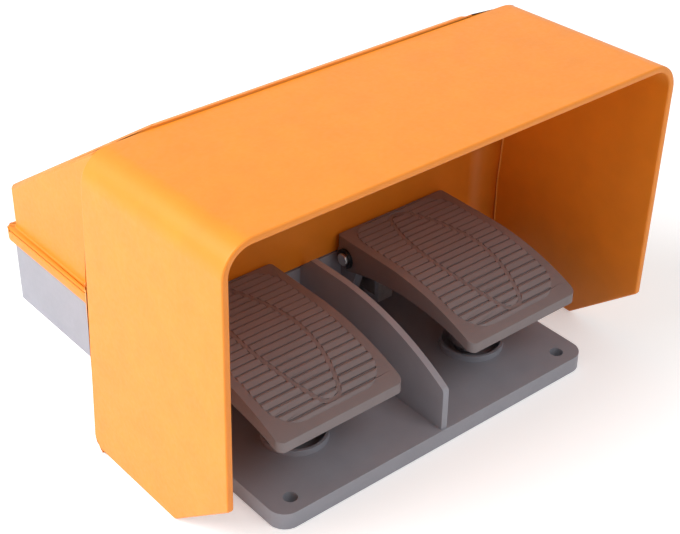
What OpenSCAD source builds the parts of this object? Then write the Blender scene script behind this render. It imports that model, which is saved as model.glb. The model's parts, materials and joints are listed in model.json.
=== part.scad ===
// Twin-pedal industrial foot switch with a guard hood.
// Frame: X to the right, Y towards the rear, Z up. The origin lies on the resting face,
// midway between the two mounting holes at the front of the base. Millimetres.

/* [Base casting] */
// Width of the foot plate
base_w = 200; // [196:1:214]
// Length of the foot plate, from its front edge to the switch tub
foot_l = 110; // [104:1:124]
// Length of the switch tub behind the foot plate
tub_l = 132.5; // [126:0.5:150]
// Thickness of the foot plate
plate_t = 9; // [8:0.5:11]
// Corner radius of the foot plate
plate_r = 9; // [5:1:14]
// Narrowing of the tub on each side, against the foot plate
tub_inset = 4; // [1:0.5:5]
// Height of the tub's rim
rim_h = 39.5; // [37:0.5:42]
// Wall thickness of the tub
tub_wall = 4; // [3.5:0.5:5]
// Floor thickness of the tub
tub_floor = 5; // [4:0.5:7]
// Height by which the tub's front wall stands above its rim
upstand_h = 7; // [6:0.5:8]
// Thickness of the rib between the pedals
rib_t = 3.6; // [3:0.2:6]
// Height of the rib at the tub
rib_h = 55.5; // [53:0.5:57]
// Radius of the rib's curved top edge
rib_r = 146; // [130:1:170]

/* [Mounting holes] */
// Distance between the two mounting holes
hole_span = 175; // [165:1:178]
// Distance of the mounting holes from the front edge
hole_inset = 9.5; // [9:0.5:12]
// Diameter of the mounting holes, for M6 bolts
hole_d = 7; // [6:0.1:8]

/* [Hood and cover] */
// Outside width of the hood
hood_w = 264; // [256:1:284]
// Height of the hood's top above the floor
hood_h = 168.5; // [160:0.5:185]
// Fall of the hood's top from its front edge to its rear edge
hood_fall = 3; // [0.5:0.5:5]
// Wall thickness of the hood
hood_t = 3.5; // [3:0.5:4.5]
// Outside radius of the hood's bends
hood_r = 15; // [10:1:24]
// Overhang of the hood in front of the base
hood_overhang = 7.5; // [2:0.5:10]
// Depth of the hood along its top
hood_d = 101; // [96:1:102]
// Backward lean of the side plates' rear edges, from top to bottom
hood_lean = 12; // [8:0.5:13]
// Backward lean of the side plates' front edges, from top to bottom
hood_rake = 3.5; // [1:0.5:8]
// Gap between the side plates and the floor
hood_gap = 1; // [1:0.5:5]
// Length of the cut corner at the front of each side plate
corner_l = 41.5; // [20:0.5:55]
// Height of the cut corner at the front of each side plate
corner_h = 34; // [20:0.5:45]
// Wall thickness of the cover
cover_t = 4; // [3.5:0.5:5]
// Inset of the cover's side walls from the tub's sides
cover_inset = 1; // [0.5:0.5:3]
// Height of the cover's rear wall above the floor
rear_h = 69.5; // [66:0.5:90]
// Distance from the hood's top rear edge to the crest of the cover
crest_l = 4; // [2:0.5:6]
// Radius of the two rear corners of the pocket behind the pedals
pocket_r = 12; // [8:1:16]
// Height of the pocket's roof above the floor
pocket_h = 88; // [80:1:110]
// Overhang of the cover's lip outside the tub
lip_out = 3.3; // [2:0.1:4]
// Height of the cover's lip
lip_h = 7; // [6:0.5:11]
// Thickness of the gasket
gasket_t = 2; // [1.5:0.5:3]

/* [Pedals] */
// Distance from the middle of the base to the middle of each pedal
pedal_x = 58.5; // [58:0.5:59.5]
// Width of a pedal
pedal_w = 73.5; // [70:0.5:76]
// Reach of a pedal in front of its pin
pedal_reach = 94; // [90:0.5:98]
// Height of the pedal's top above the pin
pedal_rise = 11; // [11:0.5:14]
// Length of the level part of the pedal's top in front of the pin
level_l = 31; // [25:1:40]
// Radius of the pedal's curved top
pedal_r = 150; // [140:1:170]
// Thickness of the pedal's top plate
pedal_t = 4; // [3:0.5:4.5]
// Depth of the pedal's skirt at its front
skirt_h = 5.5; // [5:0.5:7]
// Radius of the arched lower edge of the skirt
arch_r = 147; // [120:1:180]
// Thickness of the pedal's skirt
skirt_t = 3.5; // [3:0.5:4]
// Corner radius at the front of a pedal
pedal_corner = 4; // [3:0.5:7]
// Travel of a pedal in degrees
pedal_swing = 5.5; // [3:0.5:5.5]

/* [Tread] */
// Number of tread bars along a pedal
bar_count = 21; // [12:1:21]
// Pitch of the tread bars
bar_pitch = 4.68; // [4.3:0.02:4.7]
// Height of the tread bars above the pedal's surface
bar_h = 0.6; // [0.4:0.1:1]
// Depth of the valleys between the bars below the pedal's surface
valley_h = 0.9; // [0.5:0.1:1.2]
// Width of the valleys between the bars
bar_gap = 1; // [0.8:0.1:1.4]
// Margin between the tread and the pedal's sides
tread_margin = 5.2; // [4:0.2:8]
// Half width of the oval in the middle of the tread
oval_a = 14; // [12:0.5:15]
// Half length of the oval in the middle of the tread
oval_b = 44; // [40:0.5:45]
// Radius of the oval's two ends
oval_tip = 6; // [5:0.5:7]
// Width of the channel round the oval
oval_gap = 2.4; // [2:0.2:4]

/* [Pedal pins] */
// Diameter of the pedal pins
pin_d = 7; // [6:0.5:7.5]
// Distance from the tub's front wall to the pins
pin_set = 9; // [9:0.5:11]
// Height of the pins above the foot plate
pin_rise = 38.5; // [37:0.5:39]
// Length of the pin outside each skirt
pin_end = 3.2; // [3:0.1:5]
// Diameter of the clips on the pins
clip_d = 11; // [10:0.5:14]
// Thickness of the clips
clip_t = 1.2; // [1:0.1:1.6]

/* [Return springs] */
// Distance from the pin to the return spring
spring_arm = 58; // [55:1:61]
// Outside diameter of the return spring
spring_d = 19; // [16:0.5:20]
// Wire diameter of the return spring
wire_d = 2; // [1.6:0.1:2.2]
// Number of turns of the return spring
spring_turns = 6; // [4:1:8]
// Outside diameter of the spring ring on the base
ring_d = 33.5; // [33.5:0.5:37]
// Wall thickness of the spring ring
ring_t = 1.5; // [1.2:0.1:1.6]
// Height of the spring ring above the foot plate
ring_h = 3.5; // [3:0.5:4]
// Outside diameter of the spring cup at the pedal
cup_d = 29; // [28:0.5:32]
// Outside diameter of the spring cup at its lower end
cup_tip_d = 22.5; // [22.5:0.1:23]

/* [Switches] */
// Distance from the middle of the base to each switch
switch_x = 40; // [38:0.5:42]
// Height of the switch plunger above the floor
plunger_z = 21; // [20:0.5:22]
// Diameter of the plunger
plunger_d = 8; // [6:0.5:9]
// Distance that the actuator arm reaches behind the pin
arm_reach = 20; // [19:0.5:22]
// Width of the actuator arm
arm_w = 10; // [8:0.5:10.5]
// Thickness of the actuator arm
arm_t = 3; // [2.5:0.5:4]
// Width of a switch
switch_w = 30; // [26:1:34]
// Length of a switch
switch_l = 54; // [48:1:62]
// Height of a switch
switch_h = 28; // [26:1:30]

/* [Cable gland] */
// Diameter of the gland's thread
gland_d = 20; // [16:1:20]
// Width across the flats of the gland
gland_flats = 24; // [23:0.5:26]
// Diameter of the cable opening in the seal
cable_d = 9; // [6:0.5:10]

/* [Cover screws] */
// Diameter of the cover screws
screw_d = 5; // [4:0.5:5]
// Depth by which the screws enter the cover
screw_bite = 18; // [12:1:22]

/* [Hidden] */
$fn = 64;

// Clearances
fit = 0.05;       // radial, for pins and plungers that turn or slide
seat = 0.02;      // between fixed pieces that fit round each other
play = 0.5;       // between neighbouring castings
touch = 0.3;      // between a moving piece and what it pushes
eps = 0.01;       // overlap inside one piece

// Base
front_y = -hole_inset;
wall_y = front_y + foot_l;
rear_y = wall_y + tub_l;
tub_w = base_w - 2 * tub_inset;
tub_r = 5;
wall_top = rim_h + upstand_h;
ledge_t = 4;
room_y = wall_y + tub_wall + ledge_t;
rib_flat = 30;
rib_nose = 3;
rib_inset = 1;

// Pins and pedals
pin_y = wall_y - pin_set;
pin_z = plate_t + pin_rise;
pedal_front = pin_y - pedal_reach;
pedal_back = wall_y - 1.5;
pedal_top = pin_z + pedal_rise;
bend_y = pin_y - level_l;
boss_r = pin_d / 2 + 4;
tread_start = 7.1;
tread_r = 15;
tread_grow = 0.15;
lug_t = 6;
lug_gap = 0.7;
arch_y = pin_y - 46.5;
arch_top = pedal_top - 11.6;
lug_x = pedal_w / 2 - skirt_t - lug_gap - lug_t / 2;
lug_r = pin_d / 2 + 3;
pin_l = pedal_w + 2 * pin_end;
groove_t = clip_t + 2 * seat;
groove_x = pedal_w / 2 + 0.3;
groove_d = pin_d - 1.6;

// Springs
spring_y = pin_y - spring_arm;
ring_floor = 5;
ring_top = plate_t + ring_h;
cup_bore = spring_d + 1.2;
cup_roof = pedal_top - 10;

// Switches and arms
tip_r = 3;
tip_y = pin_y + arm_reach;
leg_y = pin_y - 8;
pad_low = pedal_top - 9;
pad_w = 14;
pad_l = 20;
arm_screw_d = 3;
arm_screw_y = [leg_y - 13, leg_y - 6.5];
arm_head_d = 5.4;
arm_head_h = 2.2;
slot_w = arm_w + 2;
slot_low = plate_t + 4;
slot_high = plunger_z + 9;
head_t = 3;
head_y = tip_y + tip_r + touch;
switch_y = head_y + head_t + 6;
pad_h = plunger_z - switch_h / 2 + 1 - tub_floor;
switch_z = tub_floor + pad_h;
plunger_l = 24;
plunger_travel = (pin_z - plunger_z) * sin(pedal_swing) + 0.6;
collar_l = 2.5;
foot_t = 4;
foot_w = 9;
foot_y1 = switch_y + 8;
foot_y2 = switch_y + switch_l - 8;
m4_d = 4;
m4_depth = 8;
terminal_h = 4;
terminal_y = [switch_l - 18, switch_l - 8];

// Hood and cover
hood_front = front_y - hood_overhang;
hood_back = hood_front + hood_d;
lean = hood_lean / hood_h;
rake = hood_rake / hood_h;
tilt = atan(hood_fall / hood_d);
crest_y = hood_back + crest_l;
crest_z = hood_h - (crest_y - hood_front) * tan(tilt);
cover_w = tub_w - 2 * cover_inset;
cover_back = rear_y - cover_inset;
cover_low = rim_h + gasket_t;
slope = (crest_z - rear_h) / (cover_back - crest_y);
slope_t = cover_t * sqrt(1 + slope * slope);
turn = atan(slope);
crest_r = crest_l - 0.5;
corner_r = 3;
edge_r = 4.5;
edge_slack = 0.15;
lip_w = tub_w + 2 * lip_out;
lip_low = rim_h - 1;
lip_top = lip_low + lip_h;
lip_shoulder = 1.5;
pocket_t = 3.5;

// Cover screws
post_r = 7;
post_x = tub_w / 2 - tub_wall - post_r + 0.7;
post_y1 = room_y + post_r + 1;
post_y2 = rear_y - tub_wall - post_r - 3;
screw_head_d = 9;
screw_head_h = 5;
sink_h = 6.5;
post_top = cover_low + screw_bite + 4;

// Cable gland
gland_z = rim_h / 2 + 1;
gland_flange = 5;
gland_neck = 7;
dome_l = 19;
nut_t = 5;

// Earth screw
earth_x = 30;
earth_y = rear_y - 24;
earth_boss_r = 6;
earth_boss_h = 6;

// Height of the cover's sloping roof at a given Y
function roof(y) = crest_z - (y - crest_y) * slope;

// Rear face and front edge of the hood's side plates at a given height
function back_at(z) = hood_back + (hood_h - z) * lean;
function front_at(z) = hood_front + (hood_h - z) * rake;

// Rectangle with one radius at its front corners and one at its rear corners
module plan_outline(w, y0, y1, front_r, rear_r) {
    polygon([
        for (a = [0:6:90]) [w / 2 - rear_r + rear_r * cos(a), y1 - rear_r + rear_r * sin(a)],
        for (a = [90:6:180]) [-w / 2 + rear_r + rear_r * cos(a), y1 - rear_r + rear_r * sin(a)],
        for (a = [180:6:270]) [-w / 2 + front_r + front_r * cos(a), y0 + front_r + front_r * sin(a)],
        for (a = [270:6:360]) [w / 2 - front_r + front_r * cos(a), y0 + front_r + front_r * sin(a)],
    ]);
}

// Puts a Y-Z outline upright and gives it a width along X, centred on x
module side_profile(x, w) {
    translate([x - w / 2, 0, 0]) rotate([90, 0, 90]) linear_extrude(w) children();
}

// Puts an X-Z outline upright and gives it a length along Y
module front_profile(y0, y1) {
    translate([0, y1, 0]) rotate([90, 0, 0]) linear_extrude(y1 - y0) children();
}

// Puts its children at each of the four cover screws
module at_posts() {
    for (x = [-post_x, post_x])
        for (y = [post_y1, post_y2])
            translate([x, y, 0]) children();
}

// ---------- Base casting ----------

module rib_outline() {
    front = front_y + rib_inset;
    flat_y = wall_y - rib_flat;
    low = plate_t - 1;
    inner_r = rib_r - rib_nose;
    nose_y = front + rib_nose;
    nose_z = rib_h - rib_r + sqrt(pow(inner_r, 2) - pow(flat_y - nose_y, 2));
    nose_turn = asin((flat_y - nose_y) / inner_r);
    polygon(concat(
        [[wall_y + 1, low], [front, low], [front, nose_z]],
        [for (a = [90:-(90 - nose_turn) / 4:nose_turn])
            [nose_y - rib_nose * sin(a), nose_z + rib_nose * cos(a)]],
        [for (a = [nose_turn:-nose_turn / 20:0])
            [flat_y - rib_r * sin(a), rib_h - rib_r + rib_r * cos(a)]],
        [[wall_y - 9, rib_h], [wall_y + 1, wall_top - 0.5]]
    ));
}

module lug(x) {
    side_profile(x, lug_t) difference() {
        union() {
            translate([pin_y, pin_z]) circle(r = lug_r);
            polygon([[pin_y - lug_r, pin_z], [pin_y + lug_r, pin_z], [wall_y + 1, wall_top - 1.5],
                [wall_y + 1, plate_t + 4], [wall_y - 4, plate_t + 4]]);
        }
        translate([pin_y, pin_z]) circle(d = pin_d + 2 * fit);
    }
}

module base_casting() {
    color([0.45, 0.44, 0.47])
    difference() {
        union() {
            linear_extrude(plate_t)
                plan_outline(base_w, front_y, wall_y + tub_wall, plate_r, 1);
            linear_extrude(rim_h)
                plan_outline(tub_w, wall_y, rear_y, 1, tub_r);
            translate([-tub_w / 2, wall_y, 0]) cube([tub_w, tub_wall, wall_top]);
            side_profile(0, rib_t) rib_outline();
            for (s = [-1, 1]) {
                translate([s * pedal_x, spring_y, plate_t - 1])
                    cylinder(d = ring_d, h = ring_h + 1);
                for (e = [-1, 1]) lug(s * pedal_x + e * lug_x);
            }
        }
        difference() {
            translate([0, 0, tub_floor]) linear_extrude(hood_h)
                plan_outline(tub_w - 2 * tub_wall, room_y, rear_y - tub_wall, 1, tub_r);
            at_posts() cylinder(r = post_r, h = rim_h);
            for (s = [-1, 1]) {
                for (y = [foot_y1, foot_y2])
                    translate([s * switch_x - switch_w / 2 - foot_w, y - foot_w / 2, 0])
                        cube([switch_w + 2 * foot_w, foot_w, switch_z]);
            }
            translate([earth_x, earth_y, 0])
                cylinder(r = earth_boss_r, h = tub_floor + earth_boss_h);
        }
        for (s = [-1, 1]) {
            translate([s * hole_span / 2, 0, -1]) cylinder(d = hole_d, h = plate_t + 2);
            translate([s * pedal_x, spring_y, ring_floor])
                cylinder(d = ring_d - 2 * ring_t, h = ring_top);
            translate([s * switch_x - slot_w / 2, wall_y - 1, slot_low])
                cube([slot_w, tub_wall + ledge_t + 2, slot_high - slot_low]);
            for (x = [-1, 1])
                for (y = [foot_y1, foot_y2])
                    translate([s * switch_x + x * (switch_w + foot_w) / 2, y, 1.5])
                        cylinder(d = m4_d + 2 * seat, h = rim_h);
        }
        at_posts() {
            translate([0, 0, -1]) cylinder(d = screw_d + 0.5, h = rim_h + 2);
            translate([0, 0, -1]) cylinder(d = screw_head_d + 1, h = sink_h + 1);
        }
        translate([earth_x, earth_y, 1.5]) cylinder(d = m4_d + 2 * seat, h = rim_h);
        translate([0, rear_y + 1, gland_z]) rotate([90, 0, 0])
            cylinder(d = gland_d + 2 * seat, h = tub_wall + 3);
    }
}

// ---------- Hood and cover casting ----------

module hood_section(inset) {
    w = hood_w / 2 - inset;
    h = hood_h - inset;
    r = hood_r - inset;
    translate([-w, -20]) square([2 * w, h - r + 20]);
    translate([-w + r, -20]) square([2 * (w - r), h + 20]);
    for (s = [-1, 1]) translate([s * (w - r), h - r]) circle(r = r);
}

module hood_side() {
    r = 7;
    low_y = back_at(hood_gap);
    difference() {
        polygon([[front_at(hood_gap + corner_h), hood_gap + corner_h],
            [front_at(hood_gap) + corner_l, hood_gap], [low_y, hood_gap],
            [back_at(hood_h + 1), hood_h + 1], [front_at(hood_h + 1), hood_h + 1]]);
        difference() {
            translate([low_y - r, hood_gap - 1]) square([2 * r, r + 1]);
            translate([low_y - r - r * lean, hood_gap + r]) circle(r = r);
        }
    }
}

// Y-Z area in front of the inner face of the hood's rear wall
module inside_outline() {
    polygon([[hood_front - 1, -1], [back_at(-1) - hood_t, -1], [back_at(hood_h + 1) - hood_t, hood_h + 1],
        [hood_front - 1, hood_h + 1]]);
}

// Hood's cross-section, drawn out along its falling top
module hood_block(inset, y0, y1) {
    translate([0, hood_front, hood_h]) rotate([-tilt, 0, 0]) translate([0, -hood_front, -hood_h])
        front_profile(y0, y1) hood_section(inset);
}

// Hood with a leaning rear wall, which ends above the base
module hood_shell() {
    difference() {
        intersection() {
            hood_block(0, hood_front - 10, rear_y);
            side_profile(0, hood_w + 2) hood_side();
        }
        intersection() {
            hood_block(hood_t, hood_front - 11, rear_y + 1);
            side_profile(0, hood_w) inside_outline();
        }
        translate([hood_t - hood_w / 2, hood_front - 1, -1])
            cube([hood_w - 2 * hood_t, rear_y, lip_low + 1]);
    }
}

// Wedge that covers the tub, from the hood's rear face down to the rear wall
module wedge_outline() {
    bend = crest_r / tan((turn - tilt) / 2);
    bend_mid = [crest_y - crest_r * cos(tilt) - bend * sin(tilt), crest_z + crest_r * sin(tilt) - bend * cos(tilt)];
    corner_dz = corner_r * tan((90 - turn) / 2);
    polygon(concat(
        [[back_at(cover_low) - 1, cover_low], [hood_back - 1, crest_z + (crest_y - hood_back + 1) * tan(tilt)]],
        [for (a = [tilt:(turn - tilt) / 5:turn]) bend_mid + bend * [sin(a), cos(a)]],
        [for (a = [turn:(90 - turn) / 5:90])
            [cover_back - corner_r + corner_r * sin(a), rear_h - corner_dz + corner_r * cos(a)]],
        [[cover_back, cover_low]]
    ));
}

// Body under the slope, with its two long edges rounded
module rounded_slope() {
    w = cover_w / 2;
    r = edge_r;
    translate([0, crest_y, crest_z]) rotate([-turn, 0, 0]) front_profile(-hood_h, 2 * tub_l) {
        translate([-w - 1, -2 * hood_h]) square([2 * w + 2, 2 * hood_h - r]);
        translate([r - w, -hood_h]) square([2 * (w - r), hood_h + 2]);
        for (s = [-1, 1]) translate([s * (w - r + edge_slack), edge_slack - r]) circle(r = r);
    }
}

module cover_room() {
    side_profile(0, cover_w - 2 * cover_t) polygon([
        [wall_y + tub_wall + ledge_t, cover_low - 1],
        [wall_y + tub_wall + ledge_t, pocket_h + pocket_t],
        [back_at(pocket_h + pocket_t), pocket_h + pocket_t],
        [hood_back + 1, crest_z - cover_t - 2],
        [crest_y, crest_z - slope_t],
        [cover_back - cover_t, roof(cover_back - cover_t) - slope_t],
        [cover_back - cover_t, cover_low - 1]]);
}

module lip_ring() {
    intersection() {
        front_profile(wall_y + tub_wall, rear_y + 10) polygon([[-lip_w / 2, lip_low],
            [lip_w / 2, lip_low], [lip_w / 2, lip_top - lip_shoulder],
            [lip_w / 2 - lip_shoulder, lip_top], [-lip_w / 2 + lip_shoulder, lip_top],
            [-lip_w / 2, lip_top - lip_shoulder]]);
        side_profile(0, lip_w + 2) polygon([[wall_y, lip_low], [rear_y + lip_out, lip_low],
            [rear_y + lip_out, lip_top - lip_shoulder], [rear_y + lip_out - lip_shoulder, lip_top],
            [wall_y, lip_top]]);
        linear_extrude(hood_h) plan_outline(lip_w, wall_y, rear_y + lip_out, 1, tub_r + lip_out);
    }
}

// Plan of the pocket behind the pedals, grown by a wall thickness
module pocket_plan(wall) {
    plan_outline(hood_w - 2 * hood_t - 2 * touch + 2 * wall, hood_front, wall_y + wall, 1,
        pocket_r + wall);
}

// Rear wall, rounded corners and roof of the pocket
module pocket_shell() {
    wall = hood_t - play;
    difference() {
        translate([0, 0, hood_gap]) linear_extrude(pocket_h + pocket_t - hood_gap) pocket_plan(wall);
        // in front of the rounded corners, and in front of the roof
        translate([-hood_w / 2, hood_front - 1, 0])
            cube([hood_w, wall_y - pocket_r - hood_front + 1, hood_h]);
        side_profile(0, hood_w) polygon([[hood_front, pocket_h], [back_at(pocket_h) - 1, pocket_h],
            [back_at(hood_h) - 1, hood_h], [hood_front, hood_h]]);
        // round the foot plate, and round the tub
        translate([-base_w / 2 - 1, hood_front, 0]) cube([base_w + 2, rear_y, plate_t + 1]);
        translate([-tub_w / 2 - play, hood_front, 0]) cube([tub_w + 2 * play, rear_y, lip_low]);
    }
}

module hood_cover() {
    color([0.95, 0.52, 0.08])
    difference() {
        union() {
            hood_shell();
            pocket_shell();
            intersection() {
                side_profile(0, cover_w + 1) wedge_outline();
                rounded_slope();
                linear_extrude(hood_h + 1)
                    plan_outline(cover_w, hood_back - 4, cover_back, 1, tub_r);
            }
            lip_ring();
        }
        // pocket behind the pedals
        translate([0, 0, -1]) linear_extrude(pocket_h + 1) pocket_plan(0);
        // room for the switches
        difference() {
            cover_room();
            translate([-cover_w / 2, wall_y, cover_low - 2])
                cube([cover_w, tub_wall + ledge_t, wall_top + 5 - cover_low + 2]);
            at_posts() translate([0, 0, cover_low]) cylinder(r = post_r, h = post_top - cover_low);
        }
        // tub's rim, gasket and upstand
        translate([0, 0, -1]) linear_extrude(cover_low + 1)
            plan_outline(tub_w + 2 * play, wall_y - 1, rear_y + play, 1, tub_r + play);
        translate([-tub_w / 2 - play, wall_y - 1, 0])
            cube([tub_w + 2 * play, tub_wall + 1 + touch, wall_top + play]);
        // screw holes
        at_posts() translate([0, 0, cover_low - 1])
            cylinder(d = screw_d + 2 * seat, h = screw_bite + 2);
    }
}

module cover_gasket() {
    g = 0.4;
    color([0.1, 0.1, 0.1])
    translate([0, 0, rim_h]) linear_extrude(gasket_t) difference() {
        plan_outline(tub_w - 2 * g, wall_y + tub_wall + touch + 0.2, rear_y - g, 1, tub_r - g);
        plan_outline(tub_w - 2 * tub_wall + 2 * g, room_y - g, rear_y - tub_wall + g, 1, tub_r);
    }
}

module cover_screws() {
    color([0.7, 0.7, 0.72])
    at_posts() {
        translate([0, 0, sink_h]) cylinder(d = screw_d, h = cover_low + screw_bite - sink_h);
        difference() {
            translate([0, 0, sink_h - screw_head_h]) cylinder(d = screw_head_d, h = screw_head_h);
            translate([0, 0, sink_h - screw_head_h - eps])
                cylinder(d = screw_d * 0.9, h = 3, $fn = 6);
        }
    }
}

// ---------- Cable gland ----------

module gland_body() {
    color([0.12, 0.12, 0.13])
    translate([0, rear_y, gland_z]) rotate([-90, 0, 0]) difference() {
        union() {
            translate([0, 0, -tub_wall - nut_t - 3])
                cylinder(d = gland_d, h = tub_wall + nut_t + 3 + gland_flange + gland_neck);
            cylinder(d = gland_flats / cos(30), h = gland_flange, $fn = 6);
        }
        translate([0, 0, -tub_wall - nut_t - 4])
            cylinder(d = gland_d - 7, h = tub_wall + nut_t + 5 + gland_flange + gland_neck);
    }
}

module gland_seal() {
    color([0.2, 0.2, 0.2])
    translate([0, rear_y + gland_flange, gland_z]) rotate([-90, 0, 0]) difference() {
        union() {
            cylinder(d = gland_d - 7 - 2 * seat, h = gland_neck + 2);
            translate([0, 0, gland_neck + seat]) cylinder(d = gland_d - 4, h = 5);
        }
        translate([0, 0, -1]) cylinder(d = cable_d, h = gland_neck + 8);
    }
}

module gland_dome_nut() {
    color([0.12, 0.12, 0.13])
    translate([0, rear_y + gland_flange + seat, gland_z]) rotate([-90, 0, 0]) difference() {
        union() {
            cylinder(d = gland_flats / cos(30), h = dome_l * 0.55, $fn = 6);
            translate([0, 0, dome_l * 0.55]) cylinder(d1 = gland_flats, d2 = cable_d + 6, h = dome_l * 0.45);
        }
        translate([0, 0, -1]) cylinder(d = gland_d + 2 * seat, h = gland_neck + 6 + 1.2);
        translate([0, 0, -1]) cylinder(d = cable_d + 1.5, h = dome_l + 2);
    }
}

module gland_locknut() {
    color([0.12, 0.12, 0.13])
    translate([0, rear_y - tub_wall - nut_t, gland_z]) rotate([-90, 0, 0]) difference() {
        cylinder(d = gland_flats / cos(30), h = nut_t, $fn = 6);
        translate([0, 0, -1]) cylinder(d = gland_d + 2 * seat, h = nut_t + 2);
    }
}

// ---------- Earth terminal ----------

module earth_washer() {
    color([0.75, 0.65, 0.35])
    translate([earth_x, earth_y, tub_floor + earth_boss_h]) difference() {
        cylinder(d = 10, h = 1);
        translate([0, 0, -1]) cylinder(d = m4_d + 0.4, h = 3);
    }
}

module earth_screw() {
    color([0.75, 0.65, 0.35])
    translate([earth_x, earth_y, tub_floor + earth_boss_h + 1]) {
        translate([0, 0, -m4_depth]) cylinder(d = m4_d, h = m4_depth + eps);
        difference() {
            cylinder(d = 8, h = 3);
            translate([-0.6, -5, 1.6]) cube([1.2, 10, 2]);
        }
    }
}

// ---------- Switches ----------

module switch_body(s) {
    color([0.16, 0.16, 0.18])
    translate([s * switch_x, switch_y, 0]) difference() {
        union() {
            translate([-switch_w / 2, 0, switch_z]) cube([switch_w, switch_l, switch_h]);
            translate([0, -collar_l, plunger_z]) rotate([-90, 0, 0])
                cylinder(d = plunger_d + 6, h = collar_l + eps);
            for (y = [foot_y1, foot_y2])
                translate([-switch_w / 2 - foot_w, y - switch_y - foot_w / 2, switch_z])
                    cube([switch_w + 2 * foot_w, foot_w, foot_t]);
        }
        translate([0, -collar_l - 1, plunger_z]) rotate([-90, 0, 0])
            cylinder(d = plunger_d + 2 * fit, h = plunger_l + plunger_travel + collar_l);
        for (x = [-1, 1]) {
            for (y = [foot_y1, foot_y2])
                translate([x * (switch_w + foot_w) / 2, y - switch_y, switch_z - 1])
                    cylinder(d = m4_d + 0.4, h = foot_t + 2);
            for (y = terminal_y)
                translate([x * switch_w / 4, y, switch_z + switch_h - terminal_h])
                    cylinder(d = m4_d + 2, h = terminal_h + 1);
        }
    }
}

module switch_terminals(s) {
    color([0.8, 0.7, 0.4])
    translate([s * switch_x, switch_y, switch_z + switch_h - terminal_h])
    for (x = [-1, 1])
        for (y = terminal_y)
            translate([x * switch_w / 4, y, 0]) difference() {
                cylinder(d = m4_d + 2 - 2 * seat, h = 2.5);
                translate([-0.5, -4, 1.5]) cube([1, 8, 2]);
            }
}

module switch_screws() {
    color([0.7, 0.7, 0.72])
    for (s = [-1, 1])
        for (x = [-1, 1])
            for (y = [foot_y1, foot_y2])
                translate([s * switch_x + x * (switch_w + foot_w) / 2, y, switch_z + foot_t]) {
                    translate([0, 0, -m4_depth]) cylinder(d = m4_d, h = m4_depth + eps);
                    difference() {
                        cylinder(d = 7, h = 2.6);
                        translate([-0.5, -4, 1.4]) cube([1, 8, 2]);
                    }
                }
}

module switch_plunger(s) {
    color([0.8, 0.8, 0.8])
    translate([s * switch_x, head_y, plunger_z]) rotate([-90, 0, 0]) {
        cylinder(d1 = plunger_d, d2 = plunger_d + 3, h = head_t / 2);
        translate([0, 0, head_t / 2]) cylinder(d = plunger_d + 3, h = head_t / 2);
        cylinder(d = plunger_d, h = plunger_l);
    }
}

// ---------- Pedals ----------

// Area under the pedal's top surface, moved down by a depth
module under_top(depth) {
    r = pedal_r - depth;
    intersection() {
        translate([bend_y, pedal_top - pedal_r]) circle(r = r, $fn = 360);
        translate([pedal_front - 5, pedal_top - pedal_r]) square([bend_y - pedal_front + 5, pedal_r]);
    }
    translate([bend_y - eps, pedal_top - pedal_r])
        square([pedal_back - bend_y + eps, pedal_r - depth]);
}

// Band between two depths below the pedal's top surface
module pedal_band(depth) {
    difference() {
        under_top(0);
        under_top(depth);
    }
}

module pedal_plan(inset) {
    r = pedal_corner - inset;
    plan_outline(pedal_w - 2 * inset, pedal_front + inset, pedal_back, max(r, 1), 2);
}

// One tread bar: low at the front, rising to a rounded crest at its rear
module bar_section() {
    l = bar_pitch - bar_gap;
    low = -valley_h - 0.5;
    polygon([[-l, low], [-l, -0.4 * bar_h], [-l + 0.5, -0.1 * bar_h], [-1.3, 0.9 * bar_h], [-0.9, bar_h],
        [-0.5, bar_h], [-0.2, 0.8 * bar_h], [0, 0.3 * bar_h], [0, low]]);
}

module tread_rows() {
    start = pedal_r * PI / 180 * asin((bend_y - pedal_front - tread_start) / pedal_r);
    for (i = [0:bar_count - 1]) {
        s = start - i * bar_pitch;
        a = max(s, 0) / pedal_r * 180 / PI;
        y = bend_y - pedal_r * sin(a) - min(s, 0);
        z = pedal_top - pedal_r + pedal_r * cos(a);
        translate([0, y, z]) rotate([a, 0, 0]) side_profile(0, pedal_w) bar_section();
    }
}

// Oval of four arcs, grown by a margin
module oval(grow) {
    long = oval_b - oval_tip;
    r = (pow(long, 2) + pow(oval_a, 2) - pow(oval_tip, 2)) / (2 * (oval_a - oval_tip));
    cut = long * (r + grow) / (r - oval_tip);
    intersection() {
        translate([r - oval_a, 0]) circle(r = r + grow, $fn = 180);
        translate([oval_a - r, 0]) circle(r = r + grow, $fn = 180);
        square([2 * (oval_a + grow), 2 * cut], center = true);
    }
    for (s = [-1, 1]) translate([0, s * long]) circle(r = oval_tip + grow);
}

// Plan of the tread, grown by a margin
module tread_plan(grow) {
    y0 = pedal_front + 4.8;
    y1 = pedal_back - 1;
    r = tread_r + grow;
    difference() {
        plan_outline(pedal_w - 2 * tread_margin + 2 * grow, y0 - grow, y1 + grow, r, r);
        translate([0, (y0 + y1) / 2]) oval(oval_gap - grow);
    }
    translate([0, (y0 + y1) / 2]) oval(grow);
}

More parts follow.
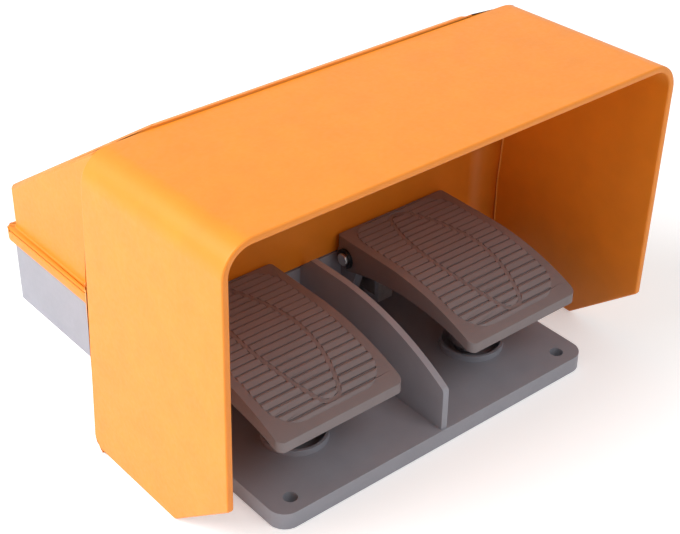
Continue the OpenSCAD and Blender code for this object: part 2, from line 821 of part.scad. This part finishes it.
module pedal(s) {
    arm_x = -s * (pedal_x - switch_x);
    color([0.46, 0.41, 0.42])
    translate([s * pedal_x, 0, 0])
    difference() {
        union() {
            difference() {
                intersection() {
                    union() {
                        side_profile(0, pedal_w) pedal_band(pedal_t);
                        difference() {
                            side_profile(0, pedal_w) skirt_outline();
                            translate([0, 0, -1]) linear_extrude(hood_h) pedal_plan_inner();
                        }
                    }
                    linear_extrude(hood_h) pedal_plan(0);
                }
                intersection() {
                    side_profile(0, pedal_w) pedal_band(valley_h);
                    linear_extrude(hood_h) tread_plan(0);
                }
            }
            for (e = [-1, 1])
                side_profile(e * (pedal_w - skirt_t) / 2, skirt_t)
                    translate([pin_y, pin_z]) circle(r = boss_r);
            intersection() {
                tread_rows();
                translate([0, 0, arch_top - arch_r / 8]) linear_extrude(hood_h) tread_plan(tread_grow);
            }
            spring_cup();
            // pad for the actuator arm
            translate([arm_x - pad_w / 2, leg_y - pad_l + 2, pad_low])
                cube([pad_w, pad_l, pedal_top - pad_low - pedal_t / 2]);
        }
        translate([0, spring_y, 0]) cylinder(d = cup_bore, h = cup_roof);
        translate([-pedal_w, pin_y, pin_z]) rotate([0, 90, 0])
            cylinder(d = pin_d + 2 * seat, h = 2 * pedal_w);
        for (y = arm_screw_y)
            translate([arm_x, y, pad_low - 1]) cylinder(d = arm_screw_d + 2 * seat, h = 5);
    }
}

// Cup that holds the upper end of the return spring
module spring_cup() {
    intersection() {
        translate([0, spring_y, 0]) rotate_extrude() polygon([[0, ring_top], [cup_tip_d / 2, ring_top],
            [cup_d / 2, cup_roof - 3], [cup_d / 2, pedal_top + 5], [0, pedal_top + 5]]);
        side_profile(0, cup_d + 2) under_top(pedal_t / 2);
    }
}

module pedal_plan_inner() {
    translate([-pedal_w / 2 + skirt_t, pedal_front + skirt_t])
        square([pedal_w - 2 * skirt_t, pedal_back]);
}

// Pedal seen from the side, above the arched lower edge of its skirt
module skirt_outline() {
    difference() {
        under_top(0);
        translate([arch_y, arch_top - arch_r]) circle(r = arch_r, $fn = 180);
        translate([pin_y, arch_top - arch_r]) square([foot_l, arch_r]);
    }
}

module pivot_pin(s) {
    color([0.75, 0.75, 0.77])
    translate([s * pedal_x - pin_l / 2, pin_y, pin_z]) rotate([0, 90, 0]) difference() {
        cylinder(d = pin_d, h = pin_l);
        for (x = [pin_l / 2 - groove_x - groove_t, pin_l / 2 + groove_x])
            translate([0, 0, x]) difference() {
                cylinder(d = pin_d + 1, h = groove_t);
                translate([0, 0, -1]) cylinder(d = groove_d, h = groove_t + 2);
            }
    }
}

module pin_clips(s) {
    color([0.2, 0.2, 0.22])
    for (e = [-1, 1])
        translate([s * pedal_x + e * (groove_x + groove_t / 2) - clip_t / 2, pin_y, pin_z])
            rotate([0, 90, 0]) linear_extrude(clip_t) difference() {
                circle(d = clip_d);
                circle(d = groove_d + 2 * seat);
                translate([0, -groove_d * 0.35]) square([clip_d, groove_d * 0.7]);
            }
}

module actuator_arm(s) {
    color([0.6, 0.6, 0.62])
    translate([s * switch_x, 0, 0]) difference() {
        union() {
            translate([-arm_w / 2, leg_y - pad_l + 4, pad_low - arm_t]) cube([arm_w, pad_l - 4, arm_t]);
            translate([-arm_w / 2, leg_y - arm_t, plunger_z - arm_t / 2])
                cube([arm_w, arm_t, pad_low - plunger_z + arm_t / 2]);
            translate([-arm_w / 2, leg_y - arm_t, plunger_z - arm_t / 2])
                cube([arm_w, tip_y - leg_y + arm_t, arm_t]);
            translate([-arm_w / 2, tip_y, plunger_z]) rotate([0, 90, 0])
                cylinder(r = tip_r, h = arm_w);
        }
        for (y = arm_screw_y) translate([0, y, 0]) cylinder(d = arm_screw_d + 0.4, h = pedal_top);
    }
}

module arm_screws(s) {
    color([0.7, 0.7, 0.72])
    for (y = arm_screw_y)
        translate([s * switch_x, y, pad_low - arm_t]) {
            translate([0, 0, -1]) cylinder(d = arm_screw_d, h = arm_t + 4);
            translate([0, 0, -arm_head_h]) cylinder(d = arm_head_d, h = arm_head_h);
        }
}

// ---------- Return springs ----------

module return_spring(s) {
    sides = 8;
    steps = 16;
    r = (spring_d - wire_d) / 2;
    low = ring_floor + wire_d / 2 + touch / 2;
    high = cup_roof - wire_d / 2 - touch / 2;
    n = spring_turns * steps;
    pts = [for (i = [0:n]) let (a = i * 360 / steps, z = low + (high - low) * i / n)
        for (k = [0:sides - 1]) let (b = k * 360 / sides)
            [(r + wire_d / 2 * cos(b)) * cos(a), (r + wire_d / 2 * cos(b)) * sin(a),
                z + wire_d / 2 * sin(b)]];
    walls = [for (i = [0:n - 1]) for (k = [0:sides - 1]) let (k2 = (k + 1) % sides)
        [i * sides + k, (i + 1) * sides + k, (i + 1) * sides + k2, i * sides + k2]];
    ends = [[for (k = [0:sides - 1]) k], [for (k = [sides - 1:-1:0]) n * sides + k]];
    color([0.55, 0.55, 0.58])
    translate([s * pedal_x, spring_y, 0]) polyhedron(pts, concat(walls, ends), convexity = 6);
}

base_casting();
hood_cover();
cover_gasket();
cover_screws();
gland_body();
gland_seal();
gland_dome_nut();
gland_locknut();
earth_screw();
earth_washer();
switch_body(-1);  // left_switch_body
switch_body(1);  // right_switch_body
switch_terminals(-1);  // left_switch_terminals
switch_terminals(1);  // right_switch_terminals
switch_screws();
return_spring(-1);  // left_return_spring
return_spring(1);  // right_return_spring
pedal(-1);  // left_pedal
pedal(1);  // right_pedal
pivot_pin(-1);  // left_pivot_pin
pivot_pin(1);  // right_pivot_pin
pin_clips(-1);  // left_pin_clips
pin_clips(1);  // right_pin_clips
actuator_arm(-1);  // left_actuator_arm
actuator_arm(1);  // right_actuator_arm
arm_screws(-1);  // left_arm_screws
arm_screws(1);  // right_arm_screws
switch_plunger(-1);  // left_switch_plunger
switch_plunger(1);  // right_switch_plunger
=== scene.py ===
"""Looks of the twin-pedal foot switch: materials, rounded edges, stage, light and camera."""
import json
import math

import bpy
from mathutils import Matrix, Vector


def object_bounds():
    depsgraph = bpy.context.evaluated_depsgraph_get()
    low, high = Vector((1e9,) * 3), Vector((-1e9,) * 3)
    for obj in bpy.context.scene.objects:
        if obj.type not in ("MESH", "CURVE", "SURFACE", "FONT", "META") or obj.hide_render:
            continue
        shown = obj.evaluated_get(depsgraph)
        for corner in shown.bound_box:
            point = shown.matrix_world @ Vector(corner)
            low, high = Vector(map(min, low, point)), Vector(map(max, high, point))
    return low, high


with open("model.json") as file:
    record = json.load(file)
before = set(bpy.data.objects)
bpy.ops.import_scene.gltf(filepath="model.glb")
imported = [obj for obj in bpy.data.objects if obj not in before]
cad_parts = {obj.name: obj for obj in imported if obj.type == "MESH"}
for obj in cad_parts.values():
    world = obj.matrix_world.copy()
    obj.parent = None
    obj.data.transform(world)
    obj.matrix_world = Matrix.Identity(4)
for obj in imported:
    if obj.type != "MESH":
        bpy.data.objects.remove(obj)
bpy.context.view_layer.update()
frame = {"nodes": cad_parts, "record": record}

MM = 0.001
WHITE = (1, 1, 1, 1)

# Camera: degrees, and millimetres in the row frame
CAMERA_AZIMUTH = -40.114
CAMERA_ELEVATION = 33.014
CAMERA_ROLL = 0.686
CAMERA_PLACE = (-393.77, -395.93, 463.51)
CAMERA_LENS = 77.788
CAMERA_SENSOR = 36
CAMERA_SHIFT_X = 0.0012
CAMERA_SHIFT_Y = -0.0129
CAMERA_NEAR = 10

# Disk lamps: place and size in metres, power in watts
LAMPS = {
    "key": ((-1.3, 0.5, 1.3), 1.4, 34),
    "fill": ((0.3, -1.2, 1.5), 1.2, 9),
    "side": ((-1.5, 0.2, 0.4), 0.8, 4),
}
# Point that the lamps face, in millimetres
LAMP_AIM = (0, 80, 60)

# Strength of the world's light, and the floor's size in metres, coat and lift to white
WORLD_LIGHT = 0.4
FLOOR_SIZE = 8.0
FLOOR_COLOR = (0.90, 0.90, 0.90, 1)
FLOOR_ROUGH = 0.9
FLOOR_GLOW = 0.35

# Colours of the coats, linear
ORANGE = (0.87, 0.26, 0.012)
GREY = (0.33, 0.33, 0.372)
PEDAL = (0.215, 0.178, 0.180)

# Middle of a noise's range, which carries its pattern
NOISE_LOW = 0.3
NOISE_HIGH = 0.7

# Sprayed coat: features per millimetre, shares of its colour, and changes of roughness
SWELL_GRAIN = 0.06
COAT_GLOSS_GRAIN = 0.4
COAT_TINT = (0.96, 1.04)
COAT_GLOSS = (-0.05, 0.06)

# Plain metal, in the same terms, with the depth of its marks in millimetres
SCRATCH_GRAIN = 3.0
METAL_TINT_GRAIN = 0.3
METAL_TINT = (0.9, 1.08)
METAL_GLOSS = (-0.08, 0.12)
SCRATCH_DEPTH = 0.01

# Moulded plastic and rubber, in the same terms
MOULD_GRAIN = 2.5
MOULD_TINT_GRAIN = 0.2
MOULD_TINT = (0.9, 1.1)
MOULD_GLOSS = (-0.05, 0.08)
MOULD_DEPTH = 0.02

# Edge rounding of the nodes, in millimetres
ROUNDING = {
    "hood_cover": 1.0,
    "gland_dome_nut": 0.4,
    "gland_body": 0.4,
    "cover_screws": 0.3,
}
# Edge rounding of the nodes that come as a left and a right one
PAIR_ROUNDING = {
    "pedal": 0.2,
    "actuator_arm": 0.3,
    "pivot_pin": 0.4,
}
ROUND_STEPS = 3
# Edges that turn by more than this are rounded, in degrees
SHARP_ANGLE = 35
# Corners closer than this are one corner, in millimetres
WELD_GAP = 0.002


# ---------- Materials ----------

def node_tree(name):
    """New material, its node tree and its Principled shader."""
    material = bpy.data.materials.new(name)
    material.use_nodes = True
    return material, material.node_tree, material.node_tree.nodes["Principled BSDF"]


def noise(tree, grain, detail=2.0, rough=0.5):
    """Noise over the object's own coordinates, with its grain in features per millimetre."""
    place = tree.nodes.new("ShaderNodeTexCoord")
    texture = tree.nodes.new("ShaderNodeTexNoise")
    texture.inputs["Scale"].default_value = grain / MM
    texture.inputs["Detail"].default_value = detail
    texture.inputs["Roughness"].default_value = rough
    tree.links.new(place.outputs["Object"], texture.inputs["Vector"])
    return texture.outputs["Fac"]


def glossed(tree, value, rough, change):
    """The roughness, changed by the two amounts from end to end of a noise."""
    less, more = change
    node = tree.nodes.new("ShaderNodeMapRange")
    node.inputs["From Min"].default_value = NOISE_LOW
    node.inputs["From Max"].default_value = NOISE_HIGH
    node.inputs["To Min"].default_value = rough + less
    node.inputs["To Max"].default_value = rough + more
    tree.links.new(value, node.inputs["Value"])
    return node.outputs["Result"]


def tinted(tree, value, color, shares):
    """The colour, times the two shares from end to end of a noise."""
    ramp = tree.nodes.new("ShaderNodeValToRGB")
    ends = ramp.color_ramp.elements
    for end, position, share in zip(ends, (NOISE_LOW, NOISE_HIGH), shares):
        end.position = position
        end.color = [min(channel * share, 1.0) for channel in color] + [1.0]
    tree.links.new(value, ramp.inputs["Fac"])
    return ramp.outputs["Color"]


def bumped(tree, heights, depth, below=None):
    """Bump of a height map, with its depth in millimetres."""
    bump = tree.nodes.new("ShaderNodeBump")
    bump.inputs["Strength"].default_value = 1.0
    bump.inputs["Distance"].default_value = depth * MM
    tree.links.new(heights, bump.inputs["Height"])
    if below is not None:
        tree.links.new(below, bump.inputs["Normal"])
    return bump.outputs["Normal"]


def coated(name, color, rough, grain, depth, swell):
    """Sprayed coat: fine orange peel over slow swells, with slightly uneven colour and gloss."""
    material, tree, shader = node_tree(name)
    slow = noise(tree, SWELL_GRAIN, 3.0)
    gloss = glossed(tree, noise(tree, COAT_GLOSS_GRAIN, 3.0), rough, COAT_GLOSS)
    normal = bumped(tree, noise(tree, grain), depth, bumped(tree, slow, swell))
    tree.links.new(tinted(tree, slow, color, COAT_TINT), shader.inputs["Base Color"])
    tree.links.new(gloss, shader.inputs["Roughness"])
    tree.links.new(normal, shader.inputs["Normal"])
    return material


def metal(name, color, rough):
    """Plain metal with fine uneven gloss."""
    material, tree, shader = node_tree(name)
    shader.inputs["Metallic"].default_value = 1.0
    marks = noise(tree, SCRATCH_GRAIN, 4.0, 0.7)
    tint = tinted(tree, noise(tree, METAL_TINT_GRAIN), color, METAL_TINT)
    tree.links.new(tint, shader.inputs["Base Color"])
    tree.links.new(glossed(tree, marks, rough, METAL_GLOSS), shader.inputs["Roughness"])
    tree.links.new(bumped(tree, marks, SCRATCH_DEPTH), shader.inputs["Normal"])
    return material


def moulded(name, color, rough):
    """Moulded plastic or rubber with a fine grain."""
    material, tree, shader = node_tree(name)
    grain = noise(tree, MOULD_GRAIN)
    tint = tinted(tree, noise(tree, MOULD_TINT_GRAIN), color, MOULD_TINT)
    tree.links.new(tint, shader.inputs["Base Color"])
    tree.links.new(glossed(tree, grain, rough, MOULD_GLOSS), shader.inputs["Roughness"])
    tree.links.new(bumped(tree, grain, MOULD_DEPTH), shader.inputs["Normal"])
    return material


FINISHES = {
    "orange_paint": coated("orange_coat", ORANGE, rough=0.42, grain=0.9, depth=0.05, swell=0.03),
    "grey_paint": coated("grey_coat", GREY, rough=0.45, grain=0.9, depth=0.06, swell=0.04),
    "pedal_metal": coated("pedal_coat", PEDAL, rough=0.5, grain=1.2, depth=0.05, swell=0.08),
    "zinc": metal("zinc_plate", (0.60, 0.60, 0.61), rough=0.35),
    "black_steel": metal("black_steel", (0.06, 0.06, 0.065), rough=0.4),
    "spring_steel": metal("spring_wire", (0.35, 0.35, 0.37), rough=0.35),
    "brass": metal("brass", (0.75, 0.55, 0.25), rough=0.3),
    "gasket_rubber": moulded("rubber", (0.03, 0.03, 0.03), rough=0.7),
    "gland_plastic": moulded("gland_plastic", (0.035, 0.035, 0.037), rough=0.5),
    "switch_plastic": moulded("switch_plastic", (0.05, 0.05, 0.055), rough=0.45),
    "plunger_plastic": moulded("plunger_plastic", (0.7, 0.68, 0.62), rough=0.4),
}


def finish_nodes():
    """Gives each CAD node the finish of its slot in the record."""
    for part in frame["record"]["subparts"]:
        shape = frame["nodes"][part["node"]].data
        shape.materials.clear()
        shape.materials.append(FINISHES[part["material_slot"]])


# ---------- Rounded edges ----------

def round_edges(node, width):
    """Joins the solid's split corners and rounds its sharp edges."""
    piece = frame["nodes"][node]
    weld = piece.modifiers.new("weld", "WELD")
    weld.merge_threshold = WELD_GAP * MM
    bevel = piece.modifiers.new("round", "BEVEL")
    bevel.width = width * MM
    bevel.segments = ROUND_STEPS
    bevel.limit_method = "ANGLE"
    bevel.angle_limit = math.radians(SHARP_ANGLE)
    bevel.use_clamp_overlap = False
    piece.modifiers.new("tone", "WEIGHTED_NORMAL")


def round_nodes():
    for node, width in ROUNDING.items():
        round_edges(node, width)
    for node, width in PAIR_ROUNDING.items():
        for side in ("left", "right"):
            round_edges(f"{side}_{node}", width)


# ---------- Stage, light and camera ----------

def seen_rays(tree):
    """1 for camera, glossy and transmission rays, which show the plain white backdrop."""
    path = tree.nodes.new("ShaderNodeLightPath")
    total = path.outputs["Is Camera Ray"]
    for ray in ("Is Glossy Ray", "Is Transmission Ray"):
        step = tree.nodes.new("ShaderNodeMath")
        step.operation = "MAXIMUM"
        tree.links.new(total, step.inputs[0])
        tree.links.new(path.outputs[ray], step.inputs[1])
        total = step.outputs["Value"]
    return total


def mixed(tree, unseen, seen, output):
    """Sends one shader to the rays that seen_rays names, and the other to the rest."""
    mix = tree.nodes.new("ShaderNodeMixShader")
    tree.links.new(seen_rays(tree), mix.inputs["Fac"])
    tree.links.new(unseen, mix.inputs[1])
    tree.links.new(seen, mix.inputs[2])
    tree.links.new(mix.outputs["Shader"], tree.nodes[output].inputs["Surface"])


def add_stage():
    """Pale floor that shows white where it is open and keeps the object's shadow."""
    bpy.ops.mesh.primitive_plane_add(size=FLOOR_SIZE, location=(0, 0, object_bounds()[0][2]))
    floor = bpy.context.object
    floor.name = "floor"
    material, tree, shader = node_tree("floor")
    shader.inputs["Base Color"].default_value = FLOOR_COLOR
    shader.inputs["Roughness"].default_value = FLOOR_ROUGH
    shader.inputs["Specular IOR Level"].default_value = 0.0
    glow = tree.nodes.new("ShaderNodeEmission")
    glow.inputs["Strength"].default_value = FLOOR_GLOW
    both = tree.nodes.new("ShaderNodeAddShader")
    tree.links.new(shader.outputs["BSDF"], both.inputs[0])
    tree.links.new(glow.outputs["Emission"], both.inputs[1])
    mixed(tree, shader.outputs["BSDF"], both.outputs["Shader"], "Material Output")
    floor.data.materials.append(material)


def add_world():
    """Soft even light, seen as plain white."""
    world = bpy.data.worlds.new("studio")
    world.use_nodes = True
    tree = world.node_tree
    soft = tree.nodes["Background"]
    soft.inputs["Color"].default_value = WHITE
    soft.inputs["Strength"].default_value = WORLD_LIGHT
    white = tree.nodes.new("ShaderNodeBackground")
    white.inputs["Color"].default_value = WHITE
    mixed(tree, soft.outputs["Background"], white.outputs["Background"], "World Output")
    bpy.context.scene.world = world


def add_lamp(name, place, size, power):
    """Disk lamp that faces the object."""
    lamp = bpy.data.lights.new(name, "AREA")
    lamp.shape = "DISK"
    lamp.size = size
    lamp.energy = power
    holder = bpy.data.objects.new(name, lamp)
    holder.location = Vector(place)
    direction = Vector(LAMP_AIM) * MM - holder.location
    holder.rotation_euler = direction.to_track_quat("-Z", "Y").to_euler()
    bpy.context.scene.collection.objects.link(holder)


def add_camera():
    """Camera at its place, turned by its three angles."""
    camera = bpy.data.objects.new("camera", bpy.data.cameras.new("camera"))
    turned = (Matrix.Rotation(math.radians(CAMERA_AZIMUTH), 4, "Z")
              @ Matrix.Rotation(math.radians(90 - CAMERA_ELEVATION), 4, "X")
              @ Matrix.Rotation(math.radians(CAMERA_ROLL), 4, "Z"))
    camera.matrix_world = Matrix.Translation(Vector(CAMERA_PLACE) * MM) @ turned
    camera.data.sensor_width = CAMERA_SENSOR
    camera.data.lens = CAMERA_LENS
    camera.data.shift_x = CAMERA_SHIFT_X
    camera.data.shift_y = CAMERA_SHIFT_Y
    camera.data.clip_start = CAMERA_NEAR * MM
    bpy.context.scene.collection.objects.link(camera)
    bpy.context.scene.camera = camera


add_camera()
round_nodes()
finish_nodes()
add_stage()
add_world()
for lamp_name, (place, size, power) in LAMPS.items():
    add_lamp(lamp_name, place, size, power)
bpy.context.scene.view_settings.view_transform = "Standard"
